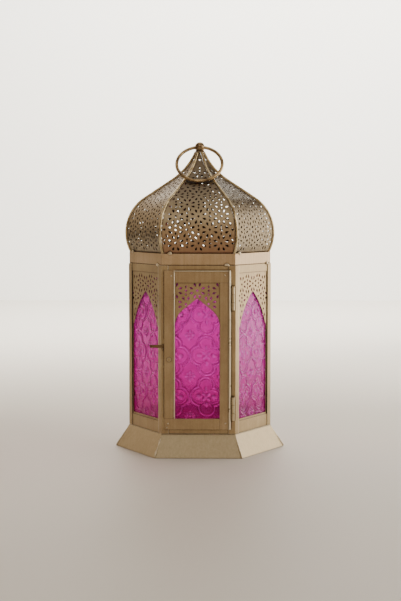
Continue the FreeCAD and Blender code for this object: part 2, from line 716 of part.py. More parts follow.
def door_panel_shape():
    edge = size("sheet") + size("door_play")
    left, right = edge - size("door_left"), size("door_right") - edge
    low, high = size("door_low") + edge, size("door_high") - edge
    thick = size("thin_sheet")
    front = -size("door_sheet_front")
    sheet_shape = Part.makeBox(right - left, thick, high - low, V(left, front, low))
    middle = (size("door_open_right") - size("door_open_left")) / 2
    half = (size("door_open_right") + size("door_open_left")) / 2
    foot = size("door_low") + size("door_bottom")
    spring = size("floor_top") + size("door_arch_spring")
    radius = size("door_arch_corner")
    pitch = math.radians(size("door_arch_pitch"))
    turn = math.pi / 2 - pitch
    centre = half - radius
    shoulder = (centre + radius * math.cos(turn), spring + radius * math.sin(turn))
    apex = shoulder[1] + shoulder[0] * math.tan(pitch)
    edges = [line(V(-half, 0, foot), V(half, 0, foot))]
    for side in (1, -1):
        knee = V(side * half, 0, spring)
        on_arc = V(side * (centre + radius * math.cos(turn / 2)), 0, spring + radius * math.sin(turn / 2))
        end = V(side * shoulder[0], 0, shoulder[1])
        edges.append(line(V(side * half, 0, foot), knee))
        edges.append(Part.Arc(knee, on_arc, end).toShape())
        edges.append(line(end, V(0, 0, apex)))
    arch = Part.Face(Part.Wire(Part.sortEdges(edges)[0]))
    arch.translate(V(middle, front - thick, 0))
    sheet_shape = sheet_shape.cut(arch.extrude(V(0, 3 * thick, 0)))
    margin = size("pierce_margin")
    top = size("door_high") - size("door_top") - margin / 2
    tools = [Part.makeCylinder(size("rivet_radius") + size("pin_play"), 3 * thick,
                               V(-size("rivet_x"), front - thick, size("rivet_z")), V(0, 1, 0))]
    first = apex - spring + size("rosette_lift") - 2 * size("rosette_rise")
    for across, along, direction, length, width in rosette_holes(2, 4, first):
        height = spring + along
        clear_of_slope = (height - apex + abs(across) * math.tan(pitch)) * math.cos(pitch) > margin
        clear_of_arc = math.hypot(abs(across) - centre, along) > radius + margin
        if clear_of_slope and clear_of_arc and height < top and abs(across) < half - margin / 2:
            where = FreeCAD.Placement(V(middle + across, front, height), UPRIGHT)
            tools.append(hole_tool(direction, length, width, where, 2 * thick))
    return pierced(sheet_shape, tools)


pieces.append(shaped("door_panel", door_panel_shape()))
door_pane = pane_shape(-size("door_pane_left"), size("door_pane_right"),
                       size("floor_top") + size("door_pane_foot"), size("door_pane_height"),
                       -size("door_sheet_back"), size("door_tile_side"),
                       size("floor_top") + size("tile_rise"))
pieces.append(shaped("door_glass", door_pane))
door_clips = []
for side, reach in ((-1, "levels.door_pane_left"), (1, "levels.door_pane_right")):
    for level, rise in CLIP_LEVELS.items():
        name = f"door_clip_{side + 1}_{level}"
        z = (f"levels.floor_top + {rise}", f"levels.floor_top + {rise} + dims.clip_width")
        inner = f"{reach} + dims.clip_play"
        outer = f"{inner} + dims.clip_thickness"
        tip = f"{reach} - dims.clip_lip"
        leg_x = (inner, outer) if side > 0 else (f"-({outer})", f"-({inner})")
        lip_x = (tip, outer) if side > 0 else (f"-({outer})", f"-({tip})")
        back = "levels.door_pane_back - dims.clip_thickness"
        leg = door_box(f"{name}_leg", leg_x, ("levels.door_sheet_back", back), z)
        lip = door_box(f"{name}_lip", lip_x, ("levels.door_pane_back", back), z)
        door_clips.append(fuse(name, [leg, lip]))
pieces.append(group("door_glass_clips", door_clips))

# Hinges: two barrels of the frame leaf either side of the door leaf's barrel, on a headed pin
BARREL = "(dims.hinge_length - 2 * dims.knuckle_gap) / 3"


def barrels(name, lows):
    """Barrels of one leaf, on the hinge axis."""
    return [cylinder(f"{name}_barrel_{index}", "dims.knuckle_radius", BARREL, "levels.hinge_x",
                     "-levels.hinge_y", low) for index, low in enumerate(lows)]


for name, level in (("lower", "dims.hinge_low"), ("upper", "levels.hinge_high")):
    foot = f"levels.floor_top + {level}"
    head = f"{foot} + dims.hinge_length"
    middle = f"{foot} + {BARREL} + dims.knuckle_gap"
    last = f"{head} - {BARREL}"
    bore_radius = "dims.pin_radius + dims.pin_play"
    frame_plate = box(f"{name}_frame_plate",
                      ("levels.hinge_x - dims.knuckle_radius / 2", "-(levels.face + dims.leaf)", foot),
                      ("levels.hinge_x - dims.knuckle_radius / 2 + dims.leaf_width", "-levels.face", head))
    webs = []
    for index, low in enumerate((foot, last)):
        webs.append(box(f"{name}_frame_web_{index}",
                        ("levels.hinge_x - dims.leaf / 2", "-(levels.hinge_y - dims.pin_radius * 1.4)", low),
                        ("levels.hinge_x + dims.leaf / 2", "-levels.face", f"{low} + {BARREL}")))
    frame_solid = fuse(f"{name}_frame_solid", [frame_plate] + webs + barrels(f"{name}_frame", (foot, last)))
    frame_bore = cylinder(f"{name}_frame_bore", bore_radius, "dims.hinge_length", "levels.hinge_x",
                          "-levels.hinge_y", foot)
    pieces.append(cut(f"hinge_{name}_frame_leaf", frame_solid, frame_bore))
    door_plate = box(f"{name}_door_plate", ("levels.door_right", "-levels.door_front", foot),
                     ("levels.door_right + dims.leaf", "-levels.door_back", head))
    door_web = box(f"{name}_door_web", ("levels.door_right", "-(levels.hinge_y + dims.leaf / 2)", middle),
                   ("levels.hinge_x - dims.pin_radius * 1.4", "-(levels.hinge_y - dims.leaf / 2)",
                    f"{middle} + {BARREL}"))
    door_solid = fuse(f"{name}_door_solid", [door_plate, door_web] + barrels(f"{name}_door", (middle,)))
    door_bore = cylinder(f"{name}_door_bore", bore_radius, "dims.hinge_length", "levels.hinge_x",
                         "-levels.hinge_y", foot)
    pieces.append(cut(f"hinge_{name}_door_leaf", door_solid, door_bore))
    shank = cylinder(f"{name}_pin_shank", "dims.pin_radius", "dims.hinge_length", "levels.hinge_x",
                     "-levels.hinge_y", foot)
    pin_head = cylinder(f"{name}_pin_head", "dims.knuckle_radius", "dims.pin_head", "levels.hinge_x",
                        "-levels.hinge_y", head)
    pieces.append(fuse(f"hinge_{name}_pin", [shank, pin_head]))

# Latch: a lever behind the left stile turns on a rivet and rests on a stud on the corner post
RIVET_AT = ("-levels.rivet_x", "levels.rivet_z")


def rivet_part(name, radius, length, back):
    return cylinder(name, radius, length, RIVET_AT[0], f"-({back})", RIVET_AT[1], UPRIGHT)


rivet_head = rivet_part("rivet_head", "dims.rivet_head_radius", "dims.rivet_head", "levels.door_front")
rivet_shank = rivet_part("rivet_shank", "dims.rivet_radius", "levels.door_front - levels.lever_back",
                         "levels.lever_back")
rivet_tail = rivet_part("rivet_tail", "dims.rivet_head_radius", "dims.rivet_tail",
                        "levels.lever_back - dims.rivet_tail")
pieces.append(fuse("latch_rivet", [rivet_head, rivet_shank, rivet_tail]))


def lever_shape():
    pivot = V(-size("rivet_x"), -size("lever_front"), size("rivet_z"))
    arm, nose, tab = size("lever_arm"), size("lever_nose"), size("lever_tab")
    rise, drop, reach = size("lever_rise"), size("lever_drop"), size("lever_reach")
    outline = [(-arm, -drop), (nose / 2, -drop * 0.7), (nose, 0), (nose * 0.6, rise * 0.2),
               (-arm * 0.7, rise), (-reach, rise), (-reach, rise - tab), (-arm, rise - tab)]
    corners = [pivot + V(x, 0, z) for x, z in outline]
    plate = Part.Face(Part.makePolygon(corners + corners[:1])).extrude(V(0, size("lever_sheet"), 0))
    hole = Part.makeCylinder(size("rivet_radius") + size("pin_play"), size("lever_sheet"), pivot, V(0, 1, 0))
    return plate.cut(hole)


pieces.append(shaped("latch_lever", lever_shape()))
TAB_UNDERSIDE = "levels.rivet_z + dims.lever_rise - dims.lever_tab"
pieces.append(cylinder("latch_keeper", "dims.keeper_radius", "dims.keeper_length",
                       "-(dims.body_radius / 2 - dims.keeper_in)", "-levels.face",
                       f"{TAB_UNDERSIDE} - dims.lever_play - dims.keeper_radius", UPRIGHT))

# Every piece is checked before any file is written
doc.recompute()
for obj in doc.Objects:
    if "Invalid" in obj.State or "Error" in obj.State:
        raise RuntimeError(f"{obj.Name} failed: {obj.State}")
for piece in pieces:
    if piece.Shape.isNull() or not piece.Shape.isValid():
        raise RuntimeError(f"{piece.Label} has no valid shape")
os.makedirs("parts", exist_ok=True)
for piece in pieces:
    piece.Shape.exportStep(f"parts/{piece.Label}.step")
print(len(pieces), "pieces written")
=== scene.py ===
import math

import bpy
import numpy as np
from mathutils import Euler, Matrix, Vector


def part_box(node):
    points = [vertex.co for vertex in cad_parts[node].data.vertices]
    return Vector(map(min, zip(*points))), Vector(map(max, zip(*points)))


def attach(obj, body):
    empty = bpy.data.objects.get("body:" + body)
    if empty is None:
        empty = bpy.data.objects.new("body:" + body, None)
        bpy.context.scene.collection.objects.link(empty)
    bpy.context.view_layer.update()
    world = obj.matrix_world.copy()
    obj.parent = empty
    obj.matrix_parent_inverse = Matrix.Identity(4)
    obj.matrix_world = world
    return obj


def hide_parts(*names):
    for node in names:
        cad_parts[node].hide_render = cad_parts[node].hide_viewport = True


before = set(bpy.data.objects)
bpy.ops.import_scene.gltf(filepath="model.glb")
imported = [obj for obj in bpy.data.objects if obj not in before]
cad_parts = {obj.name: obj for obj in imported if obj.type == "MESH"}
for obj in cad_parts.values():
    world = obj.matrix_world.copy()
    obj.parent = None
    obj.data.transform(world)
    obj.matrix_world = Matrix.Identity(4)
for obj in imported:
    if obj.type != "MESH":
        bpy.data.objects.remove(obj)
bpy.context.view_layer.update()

bpy.ops.object.select_all(action="DESELECT")

# Foot and floor: a flared hexagonal skirt folded from one strip of tinplate and soldered at a corner,
# its lower edge hemmed in, with a flat floor plate on top. Sprayed with antique gold paint.
SIDES = 6
SIDE_DEGREES = 360 / SIDES

# Rounding of an edge in millimetres, by how the sheet was worked there.
HEMMED_EDGE = 0.35
FOLDED_EDGE = 0.2

# Sizes of the paint's patterns in millimetres. The real grain and streaks are too fine to show and are
# drawn as coarse as they need to be.
MOTTLE_MM = 34
BEATEN_MM = 26
STREAK_MM = 1.8
GRAIN_MM = 1.1
STREAK_STRETCH = (1.0, 1.0, 0.04)

# Painted shade in the corners: its colour and its reach from a corner in metres, and how much of a tint
# shows.
CORNER_SHADE_COLOUR = "#2C1E11"
CORNER_SHADE_REACH = 0.002
TINT_SHARE = 0.65

# A painted edge: its width in metres, its strength and its colour; pale is a painted highlight, dark is
# painted shade.
PALE_EDGE = (0.0009, 0.75, "#EADCBC")
DARK_EDGE = (0.0006, 0.85, "#3A2A19")


def linear(hex_colour):
    """sRGB hex colour as linear red, green, blue and alpha."""
    channels = [int(hex_colour[i:i + 2], 16) / 255 for i in (1, 3, 5)]
    return tuple(c / 12.92 if c <= 0.04045 else ((c + 0.055) / 1.055) ** 2.4 for c in channels) + (1.0,)


def new_material(name):
    """Material with an empty node tree."""
    material = bpy.data.materials.new(name)
    material.use_nodes = True
    material.node_tree.nodes.clear()
    return material


def add(material, kind, inputs=None, stops=(), **settings):
    """Add a node with its settings. An input is a value or the socket that feeds it, and the stops of a
    colour ramp are positions and hex colours."""
    tree = material.node_tree
    node = tree.nodes.new(kind)
    for name, value in settings.items():
        setattr(node, name, value)
    for name, value in (inputs or {}).items():
        socket = node.inputs[name]
        if isinstance(value, bpy.types.NodeSocket):
            tree.links.new(value, socket)
        else:
            socket.default_value = value
    if stops:
        elements = node.color_ramp.elements
        while len(elements) < len(stops):
            elements.new(0.5)
        for element, (position, colour) in zip(elements, stops):
            element.position = position
            element.color = linear(colour)
    return node


def per_mm(spacing):
    """Texture scale that repeats about every so many millimetres of an object measured in metres."""
    return 1000 / spacing


def gold_paint(name, dark, mid, light, rough, edge, tints=(), inside_shade=None, corner_shade=0.95):
    """Antique gold spray paint over tinplate: satin, mottled, faintly streaked up and down, with a fine
    sprayed grain, shallow hand-beaten waves, brown painted shade in the corners, as strong as corner_shade
    says, and edges painted in the edge's colour: a painted highlight where pale, painted shade where dark.
    Each tint is a colour that comes in from one height to another. Sides that face the lantern's axis take
    the inside_shade colour as painted shade, if there is one."""
    edge_width, edge_strength, edge_colour = edge
    material = new_material(name)
    place = add(material, "ShaderNodeTexCoord").outputs["Object"]
    cloud = add(material, "ShaderNodeTexNoise", {"Vector": place, "Scale": per_mm(MOTTLE_MM), "Detail": 6.0,
                                                "Roughness": 0.62})
    grain = add(material, "ShaderNodeTexNoise", {"Vector": place, "Scale": per_mm(GRAIN_MM), "Detail": 3.0})
    stretched = add(material, "ShaderNodeMapping", {"Vector": place, "Scale": STREAK_STRETCH})
    streak = add(material, "ShaderNodeTexNoise", {"Vector": stretched.outputs["Vector"],
                                                  "Scale": per_mm(STREAK_MM), "Detail": 4.0})
    soft = add(material, "ShaderNodeMix", {"Factor": 0.3, "A": cloud.outputs["Fac"],
                                           "B": streak.outputs["Fac"]}, data_type="FLOAT")
    blend = add(material, "ShaderNodeMix", {"Factor": 0.2, "A": soft.outputs["Result"],
                                            "B": grain.outputs["Fac"]}, data_type="FLOAT")
    colour = add(material, "ShaderNodeValToRGB", {"Fac": blend.outputs["Result"]},
                 stops=((0.34, dark), (0.5, mid), (0.66, light))).outputs["Color"]
    height = add(material, "ShaderNodeSeparateXYZ", {"Vector": place}).outputs["Z"]
    for none_at, full_at, tint in tints:
        fade = add(material, "ShaderNodeMapRange", {"Value": height, "From Min": none_at, "From Max": full_at,
                                                    "To Min": 0.0, "To Max": TINT_SHARE})
        colour = add(material, "ShaderNodeMix", {"Factor": fade.outputs["Result"], "A": colour,
                                                 "B": linear(tint)}, data_type="RGBA").outputs["Result"]
    true_normal = add(material, "ShaderNodeNewGeometry").outputs["Normal"]
    # Painted shade on the inside: sides that face the lantern's axis.
    if inside_shade:
        level_place = add(material, "ShaderNodeVectorMath", {0: place, 1: (1.0, 1.0, 0.0)},
                          operation="MULTIPLY")
        facing = add(material, "ShaderNodeVectorMath", {0: true_normal, 1: level_place.outputs["Vector"]},
                     operation="DOT_PRODUCT")
        inside = add(material, "ShaderNodeMath", {0: facing.outputs["Value"], 1: 0.0}, operation="LESS_THAN")
        inside_shaded = add(material, "ShaderNodeMix", {"Factor": inside.outputs["Value"], "A": colour,
                                                 "B": linear(inside_shade)}, data_type="RGBA")
        colour = inside_shaded.outputs["Result"]
    # Painted shade: darker near corners and between parts, from ambient occlusion.
    hollow = add(material, "ShaderNodeAmbientOcclusion", {"Distance": CORNER_SHADE_REACH}, samples=8)
    corner_shade_mask = add(material, "ShaderNodeMapRange", {"Value": hollow.outputs["AO"], "From Min": 0.6,
                                                 "From Max": 0.94, "To Min": corner_shade, "To Max": 0.0})
    corner_shaded = add(material, "ShaderNodeMix", {"Factor": corner_shade_mask.outputs["Result"], "A": colour,
                                           "B": linear(CORNER_SHADE_COLOUR)}, data_type="RGBA")
    # Edges painted in the edge's colour: a painted highlight where pale, painted shade where dark.
    rounded = add(material, "ShaderNodeBevel", {"Radius": edge_width}, samples=6)
    turn = add(material, "ShaderNodeVectorMath", {0: rounded.outputs["Normal"], 1: true_normal},
               operation="DOT_PRODUCT")
    edge_paint_mask = add(material, "ShaderNodeMapRange", {"Value": turn.outputs["Value"], "From Min": 0.995,
                                                  "From Max": 0.86, "To Min": 0.0, "To Max": edge_strength})
    edge_painted = add(material, "ShaderNodeMix", {"Factor": edge_paint_mask.outputs["Result"], "A": corner_shaded.outputs["Result"],
                                           "B": linear(edge_colour)}, data_type="RGBA")
    sheen = add(material, "ShaderNodeMapRange", {"Value": cloud.outputs["Fac"], "From Min": 0.3,
                                                 "From Max": 0.7, "To Min": rough - 0.08,
                                                 "To Max": rough + 0.1})
    waves = add(material, "ShaderNodeTexNoise", {"Vector": place, "Scale": per_mm(BEATEN_MM), "Detail": 2.0})
    beaten = add(material, "ShaderNodeBump", {"Height": waves.outputs["Fac"], "Strength": 0.16,
                                              "Distance": 0.0012, "Normal": rounded.outputs["Normal"]})
    sprayed = add(material, "ShaderNodeBump", {"Height": grain.outputs["Fac"], "Strength": 0.16,
                                               "Distance": 0.0002, "Normal": beaten.outputs["Normal"]})
    shader = add(material, "ShaderNodeBsdfPrincipled", {
        "Base Color": edge_painted.outputs["Result"], "Metallic": 0.7, "Roughness": sheen.outputs["Result"],
        "Normal": sprayed.outputs["Normal"]})
    add(material, "ShaderNodeOutputMaterial", {"Surface": shader.outputs["BSDF"]})
    return material


def dress(node_name, material, edge_mm, turn_limit=35):
    """Give a CAD node its finish and a small rounded edge, with flat sides shaded flat. A piece that is
    round already has no edge to round and is shaded smooth up to the turn limit, in degrees."""
    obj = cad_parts[node_name]
    obj.data.materials.clear()
    obj.data.materials.append(material)
    obj.data.polygons.foreach_set("use_smooth", [True] * len(obj.data.polygons))
    weld = obj.modifiers.new("Weld", "WELD")
    weld.merge_threshold = 0.00001
    if edge_mm:
        bevel = obj.modifiers.new("Bevel", "BEVEL")
        bevel.width = edge_mm / 1000
        bevel.segments = 2
        bevel.limit_method = "ANGLE"
        bevel.angle_limit = math.radians(turn_limit)
        level = obj.modifiers.new("Flat sides", "WEIGHTED_NORMAL")
        level.weight = 80
    else:
        split = obj.modifiers.new("Edges", "EDGE_SPLIT")
        split.split_angle = math.radians(turn_limit)


def own_copy(obj, name):
    """Copy of an object with a mesh of its own."""
    copied = obj.copy()
    copied.data = obj.data.copy()
    copied.name = name
    bpy.context.collection.objects.link(copied)
    return copied


# The two waves that make a lump of solder uneven: depth, direction and shift from one lump to the next.
SWELL_WAVES = ((0.14, (3.1, 2.3, 1.7), 1.9), (0.1, (-2.2, 4.1, 3.3), 0.8))


def solder_lumps(name, lumps, material, body, detail=3):
    """One piece of solder lumps: each is its place, its three half sizes and its turn about the axis."""
    bpy.ops.object.select_all(action="DESELECT")
    bpy.ops.mesh.primitive_ico_sphere_add(subdivisions=detail, radius=1)
    drop = bpy.context.object
    points = np.zeros(len(drop.data.vertices) * 3)
    drop.data.vertices.foreach_get("co", points)
    points = points.reshape(-1, 3)
    made = []
    for number, (place, half, turn) in enumerate(lumps):
        swell = np.ones(len(points))
        for depth, direction, shift in SWELL_WAVES:
            swell += depth * np.sin(points @ np.array(direction) + shift * number)
        lump = own_copy(drop, f"{name}_{number}")
        lump.data.vertices.foreach_set("co", (points * swell[:, None] * np.array(half)).ravel())
        lump.data.transform(Matrix.Translation(place) @ Matrix.Rotation(turn, 4, "Z"))
        made.append(lump)
    bpy.data.objects.remove(drop)
    bpy.ops.object.select_all(action="DESELECT")
    for lump in made:
        lump.select_set(True)
    bpy.context.view_layer.objects.active = made[0]
    bpy.ops.object.join()
    solder = bpy.context.object
    solder.name = name
    bpy.ops.object.shade_smooth()
    solder.data.materials.append(material)
    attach(solder, body)
    return solder


# Pale greenish gold, satin, with cream painted highlights along the folds.
skirt_gold = gold_paint("antique_gold_paint_foot", "#998A6B", "#AE9D7C", "#C0B08E", 0.4, PALE_EDGE)
dress("base_skirt", skirt_gold, HEMMED_EDGE)
dress("floor_plate", skirt_gold, FOLDED_EDGE)

# Solder under the same spray: smoother than the sheet, painted paler as a painted highlight and with
# little painted shade in its corners, so that each lump reads as catching the light.
solder_gold = gold_paint("painted_solder", "#C8B898", "#DCCDAE", "#EEE2C8", 0.28, PALE_EDGE, corner_shade=0.1)

# The solder along a corner of the foot, in metres: lumps, unevenness and half length of a lump, rough at
# the corner where the strip's ends meet and a fine pale line at the folded ones, a painted highlight along
# the fold. Sines make the lumps uneven in the same way on each run.
SOLDERED_CORNER = 4
ROUGH_SEAM = (13, 0.35, 0.0012)
FINE_SEAM = (60, 0.12, 0.0006)
SEAM_HALF_WIDTH = 0.0008
SEAM_SUNK = 0.0004
SEAM_END = 0.001
skirt_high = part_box("base_skirt")[1]
body_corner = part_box("floor_plate")[1].x
seam_lumps = []
for corner in range(SIDES):
    angle = math.radians(SIDE_DEGREES * corner)
    outward = Vector((math.cos(angle), math.sin(angle), 0))
    count, uneven, half_length = ROUGH_SEAM if corner == SOLDERED_CORNER else FINE_SEAM
    for index in range(count):
        along = (index + 0.5) / count
        reach = skirt_high.x + (body_corner - skirt_high.x) * along
        width = SEAM_HALF_WIDTH * (1 + uneven * math.sin(5.3 * index + corner))
        height = SEAM_END + along * (skirt_high.z - 2 * SEAM_END)
        place = outward * (reach - SEAM_SUNK) + Vector((0, 0, height))
        seam_lumps.append((place, (width, width, half_length), angle))
solder_lumps("foot_seams", seam_lumps, solder_gold, "lantern", detail=2)

# Body frame: two hexagonal rails and six folded corner posts of the same tinplate, tack-soldered
# together and sprayed in one go with the panels.

# Warm brownish gold. The rails and sheets end in dark lines of painted shade, the posts in pale lines of
# painted highlight.
body_gold = gold_paint("antique_gold_paint_body", "#978060", "#AD9670", "#C0AB84", 0.38, DARK_EDGE)
post_gold = gold_paint("antique_gold_paint_posts", "#978060", "#AD9670", "#C0AB84", 0.36, PALE_EDGE)
for node_name in ("bottom_rail", "top_rail"):
    dress(node_name, body_gold, FOLDED_EDGE)
for n in range(1, SIDES + 1):
    dress(f"corner_post_{n}", post_gold, FOLDED_EDGE)

# Panels: thin tinplate sheets with a lancet arch and a pierced spandrel, one on each of the five fixed
# faces, soldered behind posts and rails. Small tabs bent from the same sheet hold the panes.

# Rounding in millimetres of an edge left by the shears and of a bent tab.
SHEARED_EDGE = 0.08
TAB_EDGE = 0.1
for n in range(1, SIDES):
    dress(f"panel_{n}", body_gold, SHEARED_EDGE)
dress("glass_clips", body_gold, TAB_EDGE)

# Panes: pressed pink glass with a raised lattice of double-lined quatrefoils, a four-petal flower in
# each and a smaller one in the gaps. Cut to size and held by soldered tabs.

# The pressed pattern in millimetres: the repeat across and up, half the width of a cord, the height of
# each cord and how far inside the outline it runs, the ripples beside it, how far the lines wander and on
# how long a bend, and the height of the petals.
PANE_TILE = (32.0, 40.0)
RIDGE = 0.64
CORDS = ((0.75, 0.0), (0.25, 2.6))
RIPPLE_HEIGHT, RIPPLE_SPACING = 0.06, 1.5
WANDER, BEND_UP, BEND_ACROSS = 0.35, 7.0, 6.0
PETAL_HEIGHT = 0.7

# Lobes of a quatrefoil: centre across, centre up and radius.
LOBES = ((6.1, 0, 9.1), (-6.1, 0, 9.1), (0, 11.2, 7.6), (0, -11.2, 7.6))

# Petals: distance from the flower's middle, half length, half width and their angles in degrees.
CROSS = (0, 90, 180, 270)
DIAGONALS = (45, 135, 225, 315)
FLOWER_PETALS = ((7.2, 2.7, 2.3, (0, 180)), (7.0, 3.4, 1.4, (90, 270)), (3.2, 2.4, 1.2, DIAGONALS),
                 (0, 1.5, 1.5, (0,)))
GAP_PETALS = ((3.4, 2.3, 1.5, CROSS), (3.6, 1.5, 0.9, DIAGONALS), (0, 1.2, 1.2, (0,)))

# The pane's mesh in metres: the step of its grid, and how far its ground lies in from the box's face.
PANE_STEP = 0.0005
SUNK = 0.0009

# Tone of the glass from 0 to 1, painted highlight and painted shade of the relief: on the flat, added per
# millimetre of height as a painted highlight, and taken off as painted shade in the groove that runs
# beside a cord, with its distance from the outline and its width in millimetres.
FLAT_TONE, RIDGE_TONE, GROOVE_TONE = 0.45, 0.7, 0.4
GROOVE_AWAY, GROOVE_WIDTH = 1.5, 0.6

# Patterns in the glass in millimetres. The stipple left by the mould is finer than this and is drawn as
# coarse as it needs to show.
SWIRL_MM = 30
STIPPLE_MM = 2.2

# The rim behind the metal and the foot of a pane get little light, so they are deeper: the rim's colour
# and reach in metres, and the heights where the foot's share is whole and gone.
RIM_COLOUR = "#5E0840"
RIM_REACH = 0.004
FOOT_FULL_AT, FOOT_NONE_AT, FOOT_SHARE = 0.045, 0.08, 0.5

# What share of the milky part glows with light from behind, and what share of the whole is clear.
GLOW_SHARE = 0.35
CLEAR_SHARE = 0.6


def pink_glass(name, deep, mid, pale, clear, sheen):
    """Pressed soda glass coloured in the melt: glossy and wavy, with a painted highlight on the ridges and
    painted shade beside them, half milky so that it glows with the light behind it."""
    material = new_material(name)
    place = add(material, "ShaderNodeTexCoord").outputs["Object"]
    relief = add(material, "ShaderNodeAttribute", attribute_name="relief").outputs["Fac"]
    swirl = add(material, "ShaderNodeTexNoise", {"Vector": place, "Scale": per_mm(SWIRL_MM), "Detail": 4.0})
    tone = add(material, "ShaderNodeMix", {"Factor": 0.22, "A": relief, "B": swirl.outputs["Fac"]},
               data_type="FLOAT")
    plain_colour = add(material, "ShaderNodeValToRGB", {"Fac": tone.outputs["Result"]},
                       stops=((0.2, deep), (0.48, mid), (0.85, pale)))
    height = add(material, "ShaderNodeSeparateXYZ", {"Vector": place}).outputs["Z"]
    foot = add(material, "ShaderNodeMapRange", {"Value": height, "From Min": FOOT_FULL_AT,
                                                "From Max": FOOT_NONE_AT, "To Min": FOOT_SHARE,
                                                "To Max": 0.0})
    dimmed = add(material, "ShaderNodeMix", {"Factor": foot.outputs["Result"],
                                             "A": plain_colour.outputs["Color"], "B": linear(deep)},
                 data_type="RGBA")
    see_through = add(material, "ShaderNodeMix", {"Factor": foot.outputs["Result"], "A": linear(clear),
                                                  "B": linear(mid)}, data_type="RGBA")
    rim = add(material, "ShaderNodeAmbientOcclusion", {"Distance": RIM_REACH}, samples=8)
    shade = add(material, "ShaderNodeMapRange", {"Value": rim.outputs["AO"], "From Min": 0.35,
                                                 "From Max": 0.85, "To Min": 0.85, "To Max": 0.0})
    colour = add(material, "ShaderNodeMix", {"Factor": shade.outputs["Result"],
                                             "A": dimmed.outputs["Result"], "B": linear(RIM_COLOUR)},
                 data_type="RGBA").outputs["Result"]
    stipple = add(material, "ShaderNodeTexNoise", {"Vector": place, "Scale": per_mm(STIPPLE_MM),
                                                   "Detail": 2.0})
    pressed = add(material, "ShaderNodeBump", {"Height": stipple.outputs["Fac"], "Strength": 0.4,
                                               "Distance": 0.0004})
    milky = add(material, "ShaderNodeBsdfPrincipled", {
        "Base Color": colour, "Roughness": 0.14, "IOR": 1.5, "Specular IOR Level": 0.25,
        "Specular Tint": linear(sheen), "Normal": pressed.outputs["Normal"]})
    glow = add(material, "ShaderNodeBsdfTranslucent", {"Color": colour, "Normal": pressed.outputs["Normal"]})
    through = add(material, "ShaderNodeBsdfPrincipled", {
        "Base Color": see_through.outputs["Result"], "Roughness": 0.06, "IOR": 1.42,
        "Specular Tint": linear(sheen), "Transmission Weight": 1.0, "Normal": pressed.outputs["Normal"]})
    body = add(material, "ShaderNodeMixShader", {0: GLOW_SHARE, 1: milky.outputs["BSDF"],
                                                 2: glow.outputs["BSDF"]})
    whole = add(material, "ShaderNodeMixShader", {0: CLEAR_SHARE, 1: body.outputs["Shader"],
                                                  2: through.outputs["BSDF"]})
    tinted = add(material, "ShaderNodeBsdfTransparent", {"Color": linear(clear)})
    passing = add(material, "ShaderNodeLightPath").outputs["Is Shadow Ray"]
    lit = add(material, "ShaderNodeMixShader", {0: passing, 1: whole.outputs["Shader"],
                                                2: tinted.outputs["BSDF"]})
    add(material, "ShaderNodeOutputMaterial", {"Surface": lit.outputs["Shader"]})
    return material


def ellipse_petals(u, v, distance, length, width, angles):
    """Rounded petals about a centre, from 0 to 1."""
    height = np.zeros_like(u)
    for angle in np.radians(angles):
        along = u * np.cos(angle) + v * np.sin(angle) - distance
        across = -u * np.sin(angle) + v * np.cos(angle)
        height = np.maximum(height, 1 - (along / length) ** 2 - (across / width) ** 2)
    return np.clip(height, 0, 1) ** 0.5


def embossing(x, z):
    """Height of the pressed pattern in millimetres at x, z in millimetres, and the distance from the
    quatrefoil's outline. The pattern wanders a little, as in hand-rolled glass."""
    tile_wide, tile_tall = PANE_TILE
    x, z = x + WANDER * np.sin(z / BEND_UP), z + WANDER * np.sin(x / BEND_ACROSS)
    u = (x + tile_wide / 2) % tile_wide - tile_wide / 2
    v = (z + tile_tall / 2) % tile_tall - tile_tall / 2
    outline = np.min([np.hypot(u - across, v - up) - radius for across, up, radius in LOBES], axis=0)
    uneven = 0.85 + 0.15 * np.sin(0.31 * x + 1.2) * np.sin(0.23 * z)
    cord = sum(rise * np.exp(-((outline + inside) / RIDGE) ** 2) for rise, inside in CORDS)
    height = uneven * cord + RIPPLE_HEIGHT * np.cos(2 * np.pi * outline / RIPPLE_SPACING)
    gap_u = np.abs(u) - tile_wide / 2
    gap_v = np.abs(v) - tile_tall / 2
    petals = [ellipse_petals(u, v, *petal) for petal in FLOWER_PETALS]
    petals += [ellipse_petals(gap_u, gap_v, *petal) for petal in GAP_PETALS]
    return np.maximum(height, PETAL_HEIGHT * np.max(petals, axis=0)), outline


